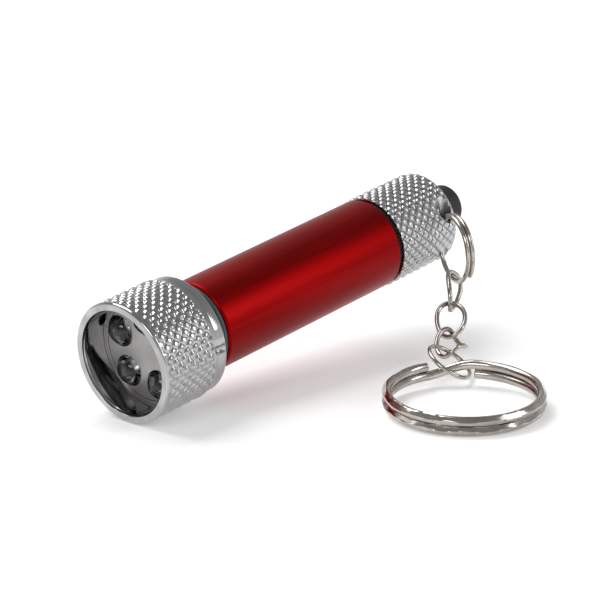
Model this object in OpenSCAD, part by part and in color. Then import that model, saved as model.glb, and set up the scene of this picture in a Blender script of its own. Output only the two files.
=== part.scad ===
// Keychain flashlight: knurled head with five LEDs, plain barrel with four button cells,
// knurled tail cap with a push button, and a short chain to a split key ring.
// The torch is drawn along its own axis, z = 0 at the head's front face and z rising to the tail,
// and then laid down: +X is head to tail, +Z is up, and the origin is the centre of the front face.

/* [Head] */
// Diameter over the knurled band of the head
head_d = 19.5; // [17:0.1:24]
// Length of the smooth band at the head's rear
band_len = 2.8; // [1.5:0.1:5]
// How much smaller in radius the smooth rear band is
band_step = 0.25; // [0.1:0.05:0.5]
// Wall round the cup in front of the LED plate
cup_wall = 1.4; // [0.9:0.05:1.6]
// Depth of the LED plate behind the front face
plate_depth = 5.0; // [4:0.1:6]
// Wall behind the LED board
head_floor = 0.9; // [0.6:0.1:2]

/* [LEDs] */
// Number of LEDs
led_count = 5; // [3:1:6]
// Diameter of one LED
led_d = 5.0; // [3:0.1:5]
// Overall length of one LED without its leads
led_len = 7.6; // [7:0.1:8]
// How far each LED's dome stands out of the plate
led_proud = 1.6; // [0.5:0.1:2.4]
// Room between the LEDs' flanges and the wall of the cup
led_edge_gap = 0.1; // [0.05:0.05:0.2]
// Angle of the first LED about the torch axis
led_clock = 45.5; // [0:0.5:72]

/* [Barrel] */
// Visible gap between the head's rear corner and the barrel
head_gap = 2.8; // [1.6:0.1:4]
// Length of the barrel
barrel_len = 39.9; // [39:0.1:60]
// Wall of the barrel round the cells
barrel_wall = 1.32; // [1.1:0.01:2.5]

/* [Cells] */
// Number of button cells in the stack
cell_count = 4; // [4]
// Diameter of one cell
cell_d = 11.6; // [11:0.1:11.6]
// Height of one cell
cell_h = 5.4; // [4.8:0.1:5.4]
// Wall of the insulating sleeve round the cells
sleeve_wall = 0.19; // [0.15:0.01:0.5]

/* [Threads] */
// How much wider in radius the screw threads are than the bore round the cells
thread_step = 0.2; // [0.1:0.05:0.5]
// Length of thread that each spigot puts into the barrel
thread_len = 5.0; // [4:0.1:6]
// Wall of both screw spigots
spigot_wall = 1.1; // [0.8:0.1:1.3]

/* [Tail cap] */
// Gap between the barrel and the tail cap
tail_gap = 0.6; // [0.5:0.1:1.2]
// Length of the tail cap
cap_len = 13.4; // [13:0.1:20]
// How much larger in radius the tail cap is than the barrel
cap_step = 0.2; // [0:0.05:1.5]
// Thickness of the tail cap's end wall
cap_end = 4.5; // [4:0.1:6]
// Diameter of the push button where it leaves the cap
button_d = 7.0; // [5:0.1:7.4]
// How far the push button stands out of the cap
button_proud = 6.9; // [2:0.1:8]
// Travel of the push button
button_travel = 1.5; // [0.8:0.1:1.5]

/* [Lanyard hole] */
// Diameter of the hole drilled across the tail cap's edge
hole_d = 2.6; // [2.4:0.1:2.8]
// Distance from the middle of the hole to the cap's surface beside it
hole_depth = 1.82; // [1.6:0.02:2]
// Distance of the hole from the cap's end face
hole_inset = 2.2; // [2:0.1:2.4]
// Angle of the hole's middle below the side of the torch
hole_clock = 12; // [-30:1:40]

/* [Chain] */
// Wire diameter of the small split ring and the chain links
wire_d = 0.8; // [0.6:0.05:0.9]
// Outside diameter of the small split ring
small_ring_d = 11.6; // [11:0.1:13]
// Swing of the small ring about the lanyard hole
small_ring_swing = 24; // [10:1:26]
// Outside length of one chain link
link_len = 8.1; // [7.8:0.05:10]
// Outside width of one chain link
link_w = 5.4; // [5:0.1:5.6]
// Outside diameter of the connector loop
connector_d = 8.28; // [8.2:0.02:9.4]
// Wire diameter of the connector loop
connector_wire = 0.7; // [0.6:0.05:0.8]

/* [Key ring] */
// Outside diameter of the key ring
key_ring_d = 25.3; // [22:0.1:32]
// Wire diameter of the key ring
key_wire = 1.5; // [1.2:0.1:1.6]

/* [Pose] */
// Angle at which the torch lies, tail up
rest_tilt = 7.43; // [0:0.01:10]

/* [Hidden] */
$fn = 64;

// Clearances
run = 0.05;         // between a spigot and its bore, per side
slip = 0.02;        // between stacked or pressed pieces
link_gap = 0.05;    // between one chain wire and the next
eps = 0.01;

// Head
head_r = head_d / 2;
band_r = head_r - band_step;
cup_r = head_r - cup_wall;
lip_in = 0.15;      // flare of the cup at the lip
lip_r = 0.45;       // rounding of the head's front edge
lip_land = 0.35;    // flat ring at the very front
mouth_r = cup_r + lip_in;
thread_tip = 0.3;   // chamfer at the end of each spigot
o_ring_seat = 0.1;  // depth of each O-ring groove

// LED module
plate_t = 0.8;
led_r = led_d / 2;
led_tip_z = plate_depth - led_proud;
led_flange_r = led_r + 0.25;
led_flange_t = 1.0;
led_back_z = led_tip_z + led_len;
led_hole_r = led_r + run;
lead_r = 0.25;
lead_spread = 1.27;
lead_len = 1.05;
holder_front_z = plate_depth + plate_t + slip;
holder_back_z = led_back_z - led_flange_t - slip;
board_t = 0.8;
board_z = led_back_z + slip;
lead_room = 0.48;   // from the board to the wall behind it
head_floor_z = board_z + board_t + lead_room;
head_len = head_floor_z + head_floor;
head_knurl_end = head_len - band_len;
led_ring_r = cup_r - led_flange_r - led_edge_gap;

// Barrel and cells
cell_r = cell_d / 2;
sleeve_in_r = cell_r + 0.06;
sleeve_out_r = sleeve_in_r + sleeve_wall;
bore_r = sleeve_out_r + run;
barrel_r = bore_r + barrel_wall;
thread_r = bore_r + thread_step;
spigot_r = thread_r - spigot_wall;
barrel_z = head_len + head_gap;
barrel_end_z = barrel_z + barrel_len;
thread_bore_r = thread_r + run;
thread_relief = 0.6;
edge = 0.25;        // bare chamfer on each end of the barrel
cells_z = barrel_z + thread_len + 1.3;
cells_end_z = cells_z + cell_count * cell_h + (cell_count - 1) * slip;
sleeve_over = 0.45; // sleeve's length past the stack at each end

// Tail cap and switch
cap_z = barrel_end_z + tail_gap;
cap_end_z = cap_z + cap_len;
cap_r = barrel_r + cap_step;
cap_corner = 0.9;
cap_floor_z = cap_end_z - cap_end;
spigot_z = barrel_end_z - thread_len;
button_r = button_d / 2;
button_dome = 0.5;    // rise of the button's top
button_edge = 0.9;    // rounding of the button's edge
button_flange_r = spigot_r - 0.3;
button_flange_t = 1.4;
button_front_z = cap_floor_z - slip - button_flange_t;
button_top_z = cap_end_z + button_proud;
retainer_z = spigot_z + 0.2;
retainer_t = 1.6;
housing_z = retainer_z + retainer_t + slip;
housing_r = spigot_r - 0.1;
housing_end_z = button_front_z - button_travel - 0.8;
plunger_r = 2.2;
plunger_bore_r = plunger_r + run;
housing_floor = 1.9;
spring_room = 2.8;
contact_r = 3.0;
contact_t = 0.5;
contact_z = housing_z - contact_t - slip;

// Lanyard hole, in the frame of the torch
hole_z = cap_end_z - hole_inset;
hole_offset = cap_r - hole_depth;
hole_span = 2 * cap_r;

// Springs
contact_wire = 0.45;
contact_turns = 7;
contact_coil_r = 2.3;
switch_wire = 0.3;
switch_turns = 4;
switch_coil_r = 1.6;

// O-rings: the head's fills the visible gap, the tail's sits in the narrow one
head_o_wire = 1.1;
head_o_z = barrel_z - run - head_o_wire / 2;
head_o_in_r = thread_r - o_ring_seat + slip;
tail_o_wire = tail_gap - 2 * run;
tail_o_z = barrel_end_z + tail_gap / 2;
tail_o_in_r = thread_r - o_ring_seat + slip;

// Sweeps
ring_sides = 10;
link_steps = 44;
wire_r = wire_d / 2;
key_wire_r = key_wire / 2;
connector_wire_r = connector_wire / 2;

// Vectors
function unit(v) = v / norm(v);
function square_to(v, axis) = unit(v - unit(axis) * (v * unit(axis)));
function turn(v, axis, a) =
    let (k = unit(axis)) v * cos(a) + cross(k, v) * sin(a) + k * (k * v) * (1 - cos(a));
function heading(az, slope) = [cos(az) * cos(slope), sin(az) * cos(slope), -sin(slope)];
function ease(t) = 0.5 - 0.5 * cos(180 * min(1, max(0, t)));
function arc(c, r, a0, a1, n) =
    [for (i = [0:n]) c + r * [cos(a0 + (a1 - a0) * i / n), sin(a0 + (a1 - a0) * i / n)]];

// A point of the torch's own frame, where the laid-down torch has it
function laid(p) =
    let (b = 90 - rest_tilt) [p[0] * cos(b) + p[2] * sin(b), p[1], -p[0] * sin(b) + p[2] * cos(b)];

// Floor under the head's rounded front edge
floor_z = -((head_r - lip_r) * cos(rest_tilt) + lip_r - lip_r * sin(rest_tilt));

// Small split ring: its plane holds the lanyard hole's axis and leans by the swing
small_ring_r = small_ring_d / 2 - wire_r;
ring_seat = hole_offset - 0.2;
ring_down = laid([cos(hole_clock), sin(hole_clock), 0]);
ring_out = laid([sin(hole_clock) * cos(small_ring_swing), -cos(hole_clock) * cos(small_ring_swing),
                 -sin(small_ring_swing)]);
ring_hub = laid([ring_seat * sin(hole_clock), -ring_seat * cos(hole_clock), hole_z]);
ring_centre = ring_hub + small_ring_r * ring_out;
ring_axis = cross(ring_down, ring_out);
ring_pitch = wire_d + 0.03;
ring_from = 150;    // angles round the ring, counted from the hole, where the wire starts and ends
ring_to = 660;
function ring_spoke(a) = -ring_out * cos(a) + ring_down * sin(a);
function small_ring_point(a) =
    ring_centre + small_ring_r * ring_spoke(a) + ring_axis * ring_pitch * (a - 450) / 360;
hang_angle = 463;   // where the first link hangs on the small ring
hang = small_ring_point(hang_angle);

// Key ring: two turns less a gap, stepping from the upper turn to the lower one inside the gap
key_ring_r = key_ring_d / 2 - key_wire_r;
key_tilt = 3;       // the far side of the ring is propped up by the connector
key_side = [0.679, -0.734, 0];
key_away = turn([0.734, 0.679, 0], key_side, key_tilt);
key_axis = cross(key_side, key_away);
key_gap = 37;       // angle without a second turn, round its middle
key_gap_at = 98;
key_rise = key_wire + 0.04;
key_base_z = floor_z + key_ring_d / 2 * sin(key_tilt);
function key_level(a) = key_wire_r + key_rise * (1 - ease((a - (360 - key_gap)) / key_gap));
function key_spoke(a) =
    let (b = key_gap_at + key_gap / 2 + a) cos(b) * key_side + sin(b) * key_away;
function key_offset(a) = key_axis * key_level(a) + key_ring_r * key_spoke(a);
key_hook_angle = 341.8;     // where the connector goes round the single wire
key_hook_z = key_base_z + key_offset(key_hook_angle)[2];

// Chain: each piece starts inside the one before and runs to the next, and the four together
// come down from the small ring to the key ring on the floor
link_line = link_len - wire_d;
link_side = link_w / 2 - wire_r;
connector_r = connector_d / 2 - connector_wire_r;
ring_step = wire_d + 0.55;  // the small ring's wire crosses the first link at a slant
link_step = wire_d + link_gap;
connector_step = wire_r + connector_wire_r + link_gap;
key_step = key_wire_r + connector_wire_r + 2 * link_gap;
connector_run = 2 * connector_r - connector_step - key_step;
fall = hang[2] - key_hook_z;
function slope(share, run) = asin(fall * share / run);
way_1 = heading(212.1, slope(0.388, link_line - ring_step));
way_2 = heading(224.5, slope(0.403, link_line - link_step));
way_3 = heading(216.1, slope(0.122, link_line - link_step));
way_4 = heading(220.6, slope(0.087, connector_run));
start_1 = hang - way_1 * ring_step;
end_1 = start_1 + way_1 * link_line;
start_2 = end_1 - way_2 * link_step;
end_2 = start_2 + way_2 * link_line;
start_3 = end_2 - way_3 * link_step;
end_3 = start_3 + way_3 * link_line;

// Side directions of each link at its two ends: the twist lets it hook both its neighbours
level_side = [0.679, -0.734, 0];
twist_2b = 30;
twist_3a = 118;
twist_3b = 228;
link_round = 0.7;    // 0 for straight flanks, 1 for an ellipse
hang_wire = cross(ring_axis, ring_spoke(hang_angle));
side_1a = unit(cross(way_1, square_to(hang_wire, way_1)));
side_1b = unit(cross(way_1, level_side));
side_2a = square_to(level_side, way_2);
side_2b = turn(side_2a, way_2, twist_2b);
side_3a = turn(square_to(level_side, way_3), way_3, twist_3a);
side_3b = turn(square_to(level_side, way_3), way_3, twist_3b);

// One point of a link's centreline, a rounded oval: u runs once round it from 0 to 1
function stadium(u, straight, r) =
    let (l = u * (2 * PI * r + 2 * straight), e = PI * r / 2)
    l < e ? [r * sin(l / r * 180 / PI), r - r * cos(l / r * 180 / PI)]
    : l < e + straight ? [r, r + l - e]
    : l < 3 * e + straight
        ? let (a = (l - e - straight) / r * 180 / PI) [r * cos(a), r + straight + r * sin(a)]
    : l < 3 * e + 2 * straight ? [-r, r + straight - (l - 3 * e - straight)]
    : let (a = (l - 3 * e - 2 * straight) / r * 180 / PI) [-r * cos(a), r - r * sin(a)];
function ellipse(u, long, r) = [r * sin(360 * u), long / 2 * (1 - cos(360 * u))];
function oval(u, straight, r) =
    stadium(u, straight, r) * (1 - link_round) + ellipse(u, straight + 2 * r, r) * link_round;
function twist_between(a, b, axis) = atan2(cross(a, b) * axis, a * b);
function link_side_at(side_a, side_b, axis, t) = turn(side_a, axis, twist_between(side_a, side_b, axis) * t);
function link_points(start, axis, side_a, side_b) =
    [for (i = [0:link_steps - 1])
        let (p = oval(i / link_steps, link_line - 2 * link_side, link_side))
        start + axis * p[1] + p[0] * link_side_at(side_a, side_b, axis, p[1] / link_line)];
function link_normals(axis, side_a, side_b) =
    [for (i = [0:link_steps - 1])
        let (p = oval(i / link_steps, link_line - 2 * link_side, link_side))
        cross(axis, link_side_at(side_a, side_b, axis, p[1] / link_line))];

// Connector loop, from the last link to the key ring
connector_centre = end_3 + way_4 * (connector_r - connector_step);
connector_axis = turn(square_to([0, 0, 1], way_4), way_4, -32);
connector_side = cross(connector_axis, way_4);

// The key ring lies where the connector reaches it
key_hook = end_3 + way_4 * connector_run;
key_base = key_hook - key_offset(key_hook_angle);
function key_point(a) = key_base + key_offset(a);

// A wire of radius r along points p, with one vector square to the wire at each point
module wire(p, side, r, sides, closed) {
    n = len(p);
    last = closed ? n : n - 1;
    along = [for (i = [0:n - 1])
        unit(p[closed ? (i + 1) % n : min(i + 1, n - 1)] - p[closed ? (i + n - 1) % n : max(i - 1, 0)])];
    u = [for (i = [0:n - 1]) unit(cross(along[i], side[i]))];
    v = [for (i = [0:n - 1]) cross(u[i], along[i])];
    rim = [for (i = [0:n - 1]) for (j = [0:sides - 1])
        p[i] + r * (u[i] * cos(360 * j / sides) + v[i] * sin(360 * j / sides))];
    skin = [for (i = [0:last - 1]) for (j = [0:sides - 1])
        let (a = i * sides + j, b = i * sides + (j + 1) % sides,
             k = ((i + 1) % n) * sides, c = k + (j + 1) % sides, d = k + j)
        each [[a, b, c], [a, c, d]]];
    ends = closed ? [] : [[for (j = [sides - 1:-1:0]) j], [for (j = [0:sides - 1]) (n - 1) * sides + j]];
    polyhedron(points = rim, faces = concat(skin, ends), convexity = 8);
}

// A compression spring on the z axis between z0 and z1, with closed ends
module coil_spring(z0, z1, coil_r, wire_r, turns) {
    per_turn = 14;
    n = turns * per_turn;
    dead = 0.75 / turns;
    low = z0 + wire_r;
    high = z1 - wire_r;
    function rise(t) = min(1, max(0, (t - dead) / (1 - 2 * dead)));
    path = [for (i = [0:n])
        let (t = i / n) [coil_r * cos(360 * turns * t), coil_r * sin(360 * turns * t),
                         low + (high - low) * rise(t)]];
    wire(path, [for (i = [0:n]) [0, 0, 1]], wire_r, 8, false);
}

// Puts what is drawn along the torch's own axis where the torch lies
module torch() {
    rotate([0, 90 - rest_tilt, 0]) children();
}

module o_ring(z, in_r, wire) {
    color([0.06, 0.08, 0.08]) torch()
    rotate_extrude()
    translate([in_r + wire / 2, z])
    circle(d = wire, $fn = 24);
}

module head_shell() {
    front = arc([head_r - lip_r, lip_r], lip_r, -90, 0, 5);
    corner = arc([band_r - lip_r, head_len - lip_r], lip_r, 0, 90, 4);
    groove_z = head_o_z - head_o_wire / 2 - run;
    outline = concat(
        [[mouth_r + lip_land, 0]],
        front,
        [[head_r, head_knurl_end], [band_r, head_knurl_end + band_step]],
        corner,
        [[thread_r, head_len], [thread_r, groove_z], [thread_r - o_ring_seat, groove_z],
         [thread_r - o_ring_seat, barrel_z], [thread_r, barrel_z],
         [thread_r, barrel_z + thread_len - thread_tip],
         [thread_r - thread_tip, barrel_z + thread_len],
         [spigot_r, barrel_z + thread_len], [spigot_r, head_floor_z], [cup_r, head_floor_z],
         [cup_r, lip_land + lip_in], [mouth_r, lip_land]]);
    color([0.80, 0.80, 0.82]) torch() rotate_extrude() polygon(outline);
}

module at_leds() {
    for (i = [0:led_count - 1]) rotate([0, 0, led_clock + i * 360 / led_count])
    translate([led_ring_r, 0, 0]) children();
}

module led_plate() {
    color([0.74, 0.72, 0.71]) torch()
    difference() {
        translate([0, 0, plate_depth]) cylinder(r = cup_r - slip, h = plate_t);
        at_leds() translate([0, 0, plate_depth - 1]) cylinder(r = led_hole_r, h = plate_t + 2, $fn = 48);
    }
}

module led(i) {
    color([0.35, 0.35, 0.38, 0.8]) torch()
    rotate([0, 0, led_clock + i * 360 / led_count])
    translate([led_ring_r, 0, 0]) {
        translate([0, 0, led_tip_z]) rotate_extrude()
        polygon(concat([[0, 0]], [for (a = [9:9:90]) led_r * [sin(a), 1 - cos(a)]],
                       [[led_r, led_len - led_flange_t], [led_flange_r, led_len - led_flange_t],
                        [led_flange_r, led_len], [0, led_len]]));
        for (y = [-lead_spread, lead_spread]) translate([0, y, led_back_z - eps])
        cylinder(r = lead_r, h = lead_len + eps, $fn = 16);
    }
}

module led_1() {
    led(0);
}

module led_2() {
    led(1);
}

module led_3() {
    led(2);
}

module led_4() {
    led(3);
}

module led_5() {
    led(4);
}

module led_holder() {
    color([0.10, 0.10, 0.11]) torch()
    difference() {
        translate([0, 0, holder_front_z]) cylinder(r = cup_r - run, h = holder_back_z - holder_front_z);
        at_leds() translate([0, 0, holder_front_z - 1]) cylinder(r = led_hole_r, h = led_len, $fn = 48);
    }
}

module led_board() {
    color([0.10, 0.35, 0.18]) torch()
    difference() {
        translate([0, 0, board_z]) cylinder(r = cup_r - run, h = board_t);
        at_leds() for (y = [-lead_spread, lead_spread]) translate([0, y, board_z - 1])
        cylinder(r = lead_r + run, h = board_t + 2, $fn = 16);
    }
}

module front_spring() {
    color([0.85, 0.75, 0.45]) torch()
    coil_spring(board_z + board_t + slip, cells_z - slip, contact_coil_r, contact_wire / 2, contact_turns);
}

module head_o_ring() {
    o_ring(head_o_z, head_o_in_r, head_o_wire);
}

module barrel_tube() {
    front_relief_z = barrel_z + thread_len + thread_relief;
    rear_relief_z = spigot_z - thread_relief;
    outline = [
        [thread_bore_r, barrel_z], [barrel_r - edge, barrel_z], [barrel_r, barrel_z + edge],
        [barrel_r, barrel_end_z - edge], [barrel_r - edge, barrel_end_z], [thread_bore_r, barrel_end_z],
        [thread_bore_r, rear_relief_z], [bore_r, rear_relief_z], [bore_r, front_relief_z],
        [thread_bore_r, front_relief_z]];
    color([0.72, 0.02, 0.03]) torch() rotate_extrude() polygon(outline);
}

module cell_sleeve() {
    sleeve_z = cells_z - sleeve_over;
    sleeve_h = cells_end_z - cells_z + 2 * sleeve_over;
    color([0.90, 0.90, 0.86]) torch()
    difference() {
        translate([0, 0, sleeve_z]) cylinder(r = sleeve_out_r, h = sleeve_h);
        translate([0, 0, sleeve_z - 1]) cylinder(r = sleeve_in_r, h = sleeve_h + 2);
    }
}

// A button cell: the can's flat face to the head, its smaller cap to the tail
module cell(i) {
    round_r = 0.4;
    cap_h = 0.8;
    cap_r = cell_r - 1.2;
    outline = concat(
        [[0, 0]],
        arc([cell_r - round_r, round_r], round_r, -90, 0, 4),
        [[cell_r, cell_h - cap_h], [cell_r - 0.7, cell_h - cap_h + 0.1], [cap_r, cell_h - cap_h + 0.1],
         [cap_r, cell_h], [0, cell_h]]);
    color([0.78, 0.79, 0.80]) torch()
    translate([0, 0, cells_z + i * (cell_h + slip)]) rotate_extrude() polygon(outline);
}

module cell_1() {
    cell(0);
}

module cell_2() {
    cell(1);
}

module cell_3() {
    cell(2);
}

module cell_4() {
    cell(3);
}

module rear_spring() {
    color([0.85, 0.75, 0.45]) torch()
    coil_spring(cells_end_z + slip, contact_z - slip, contact_coil_r, contact_wire / 2, contact_turns);
}

module tail_o_ring() {
    o_ring(tail_o_z, tail_o_in_r, tail_o_wire);
}

module tail_cap() {
    outline = [
        [spigot_r, spigot_z], [thread_r - thread_tip, spigot_z], [thread_r, spigot_z + thread_tip],
        [thread_r, barrel_end_z], [thread_r - o_ring_seat, barrel_end_z],
        [thread_r - o_ring_seat, cap_z], [cap_r, cap_z],
        [cap_r, cap_end_z - cap_corner], [cap_r - cap_corner, cap_end_z], [button_r + run, cap_end_z],
        [button_r + run, cap_floor_z], [spigot_r, cap_floor_z]];
    color([0.72, 0.72, 0.74]) torch()
    difference() {
        rotate_extrude() polygon(outline);
        translate([0, 0, hole_z]) rotate([0, 0, hole_clock]) translate([-hole_span / 2, -hole_offset, 0])
        rotate([0, 90, 0]) cylinder(d = hole_d, h = hole_span);
    }
}

module switch_retainer() {
    color([0.80, 0.65, 0.30]) torch()
    difference() {
        translate([0, 0, retainer_z]) cylinder(r = spigot_r - run, h = retainer_t);
        translate([0, 0, retainer_z - 1]) cylinder(r = contact_r + 0.5, h = retainer_t + 2);
    }
}

module switch_contact() {
    color([0.85, 0.68, 0.32]) torch()
    translate([0, 0, contact_z]) cylinder(r = contact_r, h = contact_t);
}

module switch_housing() {
    bore_z = housing_z + housing_floor;
    color([0.08, 0.08, 0.09]) torch()
    difference() {
        translate([0, 0, housing_z]) cylinder(r = housing_r, h = housing_end_z - housing_z);
        translate([0, 0, bore_z]) cylinder(r = plunger_bore_r, h = housing_end_z - bore_z + 1);
    }
}

module switch_plunger() {
    plunger_z = housing_z + housing_floor + spring_room;
    color([0.92, 0.92, 0.90]) torch()
    translate([0, 0, plunger_z]) cylinder(r = plunger_r, h = button_front_z - slip - plunger_z);
}

module switch_spring() {
    spring_z = housing_z + housing_floor;
    color([0.75, 0.76, 0.78]) torch()
    coil_spring(spring_z + slip, spring_z + spring_room - slip, switch_coil_r, switch_wire / 2, switch_turns);
}

module push_button() {
    flat_r = button_r - button_edge;
    edge_z = button_top_z - button_dome - button_edge;
    outline = concat(
        [[0, button_front_z], [button_flange_r, button_front_z],
         [button_flange_r, button_front_z + button_flange_t],
         [button_r, button_front_z + button_flange_t]],
        arc([flat_r, edge_z], button_edge, 0, 80, 5),
        [for (x = [0.85, 0.6, 0.3, 0]) [flat_r * x, button_top_z - button_dome * x * x]]);
    color([0.05, 0.05, 0.06]) torch() rotate_extrude() polygon(outline);
}

module small_split_ring() {
    step = 7.5;
    angles = [ring_from:step:ring_to];
    color([0.70, 0.68, 0.65])
    wire([for (a = angles) small_ring_point(a)], [for (a = angles) ring_axis], wire_r, ring_sides, false);
}

module chain_link(start, axis, side_a, side_b) {
    color([0.70, 0.68, 0.65])
    wire(link_points(start, axis, side_a, side_b), link_normals(axis, side_a, side_b), wire_r,
         ring_sides, true);
}

module chain_link_1() {
    chain_link(start_1, way_1, side_1a, side_1b);
}

module chain_link_2() {
    chain_link(start_2, way_2, side_2a, side_2b);
}

module chain_link_3() {
    chain_link(start_3, way_3, side_3a, side_3b);
}

module connector_loop() {
    steps = 44;
    path = [for (i = [0:steps - 1]) let (a = 360 * i / steps)
        connector_centre + connector_r * (connector_side * cos(a) + way_4 * sin(a))];
    color([0.72, 0.70, 0.66])
    wire(path, [for (i = [0:steps - 1]) connector_axis], connector_wire_r, ring_sides, true);
}

module key_ring() {
    step = 6.5;
    angles = [0:step:720 - key_gap];
    color([0.70, 0.68, 0.66])
    wire([for (a = angles) key_point(a)], [for (a = angles) key_axis], key_wire_r, ring_sides, false);
}

head_shell();
led_plate();
led_1();
led_2();
led_3();
led_4();
led_5();
led_holder();
led_board();
front_spring();
head_o_ring();
barrel_tube();
cell_sleeve();
cell_1();
cell_2();
cell_3();
cell_4();
rear_spring();
tail_o_ring();
tail_cap();
switch_retainer();
switch_contact();
switch_housing();
switch_plunger();
switch_spring();
push_button();
small_split_ring();
chain_link_1();
chain_link_2();
chain_link_3();
connector_loop();
key_ring();
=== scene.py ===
"""Looks for the keychain flashlight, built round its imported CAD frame.

Sizes are in mm and angles in degrees, unless a comment says otherwise. Materials, the floor, the
lamps and the camera are in metres, and so are the finished meshes.
"""

import math

import bmesh
import bpy
import numpy as np
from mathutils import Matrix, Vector


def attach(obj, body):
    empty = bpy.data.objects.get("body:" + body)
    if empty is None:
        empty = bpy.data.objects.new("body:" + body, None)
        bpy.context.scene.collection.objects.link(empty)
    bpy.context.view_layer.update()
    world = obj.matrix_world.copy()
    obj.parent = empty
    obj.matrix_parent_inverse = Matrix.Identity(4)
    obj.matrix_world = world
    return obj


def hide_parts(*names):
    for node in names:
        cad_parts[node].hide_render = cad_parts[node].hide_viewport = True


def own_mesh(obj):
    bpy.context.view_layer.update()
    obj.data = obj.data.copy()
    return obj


MM = 0.001
TAU = 2 * math.pi

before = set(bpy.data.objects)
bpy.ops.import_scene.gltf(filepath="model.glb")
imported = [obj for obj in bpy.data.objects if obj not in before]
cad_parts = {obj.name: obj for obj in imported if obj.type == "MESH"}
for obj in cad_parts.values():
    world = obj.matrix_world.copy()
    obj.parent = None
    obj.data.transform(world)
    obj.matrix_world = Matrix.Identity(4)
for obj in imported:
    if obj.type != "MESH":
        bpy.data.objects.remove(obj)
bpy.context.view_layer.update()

# ---------------------------------------------------------------- sizes of the pieces

TILT = math.radians(7.43)  # how far the tail is raised, in radians

HEAD_R = 9.75
HEAD_LEN = 13.2
HEAD_FLOOR_Z = HEAD_LEN - 0.9
KNURL_END = 10.4
BAND_STEP = 0.25
BAND_R = HEAD_R - BAND_STEP
CUP_R = 8.35
LIP_IN = 0.15
LIP_LAND = 0.35
LIP_R = 0.45
MOUTH_R = CUP_R + LIP_IN
PLATE_Z = 5.0

LEDS = 5
LED_R = 2.5
LED_LEN = 7.6
LED_RING_R = 5.5
LED_CLOCK = 45.5
LED_TIP_Z = PLATE_Z - 1.6

BARREL_R = 7.42
BARREL_Z = 16.0
BARREL_LEN = 39.9
BARREL_END_Z = BARREL_Z + BARREL_LEN
BARREL_EDGE = 0.25
BORE_R = BARREL_R - 1.32

THREAD_R = 6.3
THREAD_LEN = 5.0
SPIGOT_R = 5.2

HEAD_GAP = 1.2
TAIL_GAP = 0.6
O_SEAT = 0.1
O_EASE = 0.02
HEAD_O_WIRE = 1.1
TAIL_O_WIRE = 0.5

CAP_R = 7.62
CAP_Z = BARREL_END_Z + TAIL_GAP
CAP_CORNER = 0.9
CAP_END_Z = CAP_Z + 13.4
CAP_FLOOR_Z = CAP_END_Z - 4.5

BUTTON_R = 3.5
BUTTON_PROUD = 6.9
BUTTON_DOME = 0.5
BUTTON_EDGE = 0.9
FLANGE_R = 4.9
FLANGE_LEN = 1.4
FLANGE_EASE = 0.02

HOLE_R = 1.3
HOLE_OFFSET = 5.8
HOLE_Z = CAP_END_Z - 2.2
HOLE_CLOCK = 12
HOLE_EASE = 0.08  # added to the radius, so that the ring's wire clears the wall at its limits

SWITCH_SEAT_Z = BARREL_END_Z - THREAD_LEN + 3.72
SPRING_EASE = 0.02
SPRING_TOP_Z = SWITCH_SEAT_Z + 2.78
SPRING_R = 1.6
SPRING_WIRE_R = 0.15
SPRING_TURNS = 4

WIRE_R = 0.4
CONNECTOR_WIRE_R = 0.35
KEY_WIRE_R = 0.75
LINK_GAP = 0.05

SMALL_RING_R = 5.4
RING_INSET = 0.2
RING_SWING = 24
RING_FROM = 150
RING_TO = 660
RING_LEVEL_AT = 450
RING_GAP = 0.03
HANG = 463

LINK_LINE = 7.3
LINK_SIDE = 2.3
LINK_ROUND = 0.7
CONNECTOR_R = 3.79

KEY_RING_D = 25.3
KEY_RING_R = KEY_RING_D / 2 - KEY_WIRE_R
KEY_TILT = 3
KEY_GAP = 37
KEY_GAP_AT = 98
KEY_HOOK = 341.8
KEY_TURN_GAP = 0.04

# Each link's azimuth and its share of the fall from the small ring to the key ring, then the
# connector loop's
CHAIN_WAYS = ((212.1, 0.388), (224.5, 0.403), (216.1, 0.122), (220.6, 0.087))
FIRST_GAP = 0.55
LINK_2_TWIST = 30
LINK_3_TWISTS = (118, 228)
CONNECTOR_TWIST = -32

# ---------------------------------------------------------------- surface detail, and limits

THREAD_PITCH = 1.0
THREAD_DEPTH = 0.32
THREAD_LEAD = 0.3
THREAD_RUNOUT = 0.2
KNURL_PITCH = 1.75
KNURL_DEPTH = 0.24
KNURL_DETAIL = 20  # mesh steps in one knurl, both round the piece and along it
HEAD_KNURLS = 33
CAP_KNURLS = 26
ON_AXIS = 1e-9  # a smaller radius than this lies on the axis

# The torch's own frame: z runs from the front face to the tail, x points down
TORCH = np.array([
    [math.sin(TILT), 0, math.cos(TILT)],
    [0, 1, 0],
    [-math.cos(TILT), 0, math.sin(TILT)],
])

# Level ways, as the camera sees them: to its right, and away from it
SIDE = np.array([0.679, -0.734, 0.0])
AWAY = np.array([0.734, 0.679, 0.0])


def laid(p):
    """Points of the torch's own frame, where the laid-down torch has them."""
    return np.asarray(p, float) @ TORCH.T


def unit(v):
    return v / np.linalg.norm(v)


def square_to(v, axis):
    """The unit vector square to axis that lies nearest to v."""
    axis = unit(axis)
    return unit(v - axis * (v @ axis))


def turn(v, axis, degrees):
    """v, turned about an axis by the right-hand rule."""
    k, a = unit(axis), math.radians(degrees)
    return v * math.cos(a) + np.cross(k, v) * math.sin(a) + k * (k @ v) * (1 - math.cos(a))


def heading(azimuth, slope):
    """The unit vector at an azimuth from +X, pointing down by slope."""
    a, s = math.radians(azimuth), math.radians(slope)
    return np.array([math.cos(a) * math.cos(s), math.sin(a) * math.cos(s), -math.sin(s)])


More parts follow.
